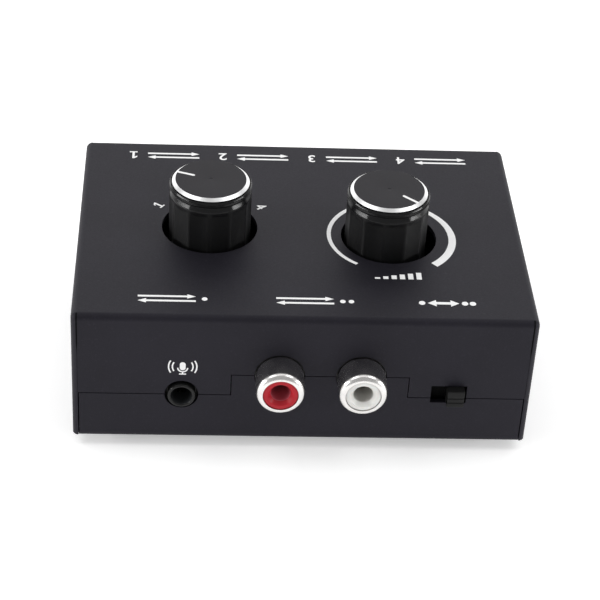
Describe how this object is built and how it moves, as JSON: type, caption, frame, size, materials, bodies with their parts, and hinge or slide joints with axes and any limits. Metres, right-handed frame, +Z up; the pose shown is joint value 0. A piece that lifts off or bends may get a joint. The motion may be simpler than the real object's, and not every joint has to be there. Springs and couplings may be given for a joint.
{
  "type": "audio switch box",
  "caption": "Small black steel audio switch box with a rotary selector, a volume knob, a slide switch, phono sockets and miniature jack sockets front and rear.",
  "frame": {"origin": "centre of the outer box, on the plane that the feet stand on", "axes": "+X to the right seen from the front, +Y to the back, +Z up; the front panel faces -Y"},
  "size_m": [0.079, 0.0621, 0.038],
  "materials": {
    "case_paint": "fine matte powder coat, charcoal black",
    "knob_aluminium": "black anodised, gloss sides, bright cut rim",
    "nickel": "bright nickel plate",
    "steel": "zinc plated",
    "black_steel": "black oxide",
    "contact_brass": "tin plated",
    "black_plastic": "moulded",
    "red_plastic": "moulded, smooth",
    "white_plastic": "moulded, smooth",
    "board": "green solder mask",
    "phenolic": "brown laminate",
    "natural_plastic": "natural, unpigmented",
    "foot_rubber": "matte"
  },
  "bodies": {
    "box": {"top_cover": "case_paint", "bottom_tray": "case_paint", "cover_screws": "black_steel", "feet": "foot_rubber", "circuit_board": "board", "board_standoffs": "steel", "board_screws": "steel", "selector_base": "phenolic", "selector_contacts": "contact_brass", "selector_plate": "steel", "volume_base": "black_plastic", "volume_tracks": "phenolic", "volume_terminals": "contact_brass", "volume_plate": "steel", "switch_frame": "black_steel", "switch_base": "phenolic", "switch_terminals": "contact_brass", "phono_housing": "black_plastic", "phono_shell_left": "nickel", "phono_shell_right": "nickel", "phono_insulator_left": "red_plastic", "phono_insulator_right": "white_plastic", "phono_contacts": "contact_brass", "phono_ground_tabs": "contact_brass", "front_jack_body": "black_plastic", "front_jack_contacts": "contact_brass", "rear_jack_body_1": "black_plastic", "rear_jack_contacts_1": "contact_brass", "rear_jack_body_2": "black_plastic", "rear_jack_contacts_2": "contact_brass", "rear_jack_body_3": "black_plastic", "rear_jack_contacts_3": "contact_brass", "rear_jack_body_4": "black_plastic", "rear_jack_contacts_4": "contact_brass"},
    "selector": {"selector_shaft": "steel", "selector_rotor": "natural_plastic", "selector_wipers": "contact_brass", "selector_detent_spring": "steel", "selector_detent_ball": "steel", "selector_knob": "knob_aluminium", "selector_knob_insert": "natural_plastic"},
    "volume": {"volume_shaft": "steel", "volume_rotor": "natural_plastic", "volume_wipers": "contact_brass", "volume_knob": "knob_aluminium", "volume_knob_insert": "natural_plastic"},
    "slider": {"switch_slider": "black_plastic", "switch_clips": "contact_brass"}
  },
  "joints": [
    {"name": "selector_turn", "type": "hinge", "parent": "box", "child": "selector", "pos_m": [-0.0163, 0.00195, 0.0281], "axis": [0, 0, 1], "range_deg": [-108, 0]},
    {"name": "volume_turn", "type": "hinge", "parent": "box", "child": "volume", "pos_m": [0.0149, -0.00015, 0.0281], "axis": [0, 0, 1], "range_deg": [-8, 282]},
    {"name": "switch_slide", "type": "slide", "parent": "box", "child": "slider", "axis": [1, 0, 0], "range_m": [-0.0022, 0]}
  ]
}
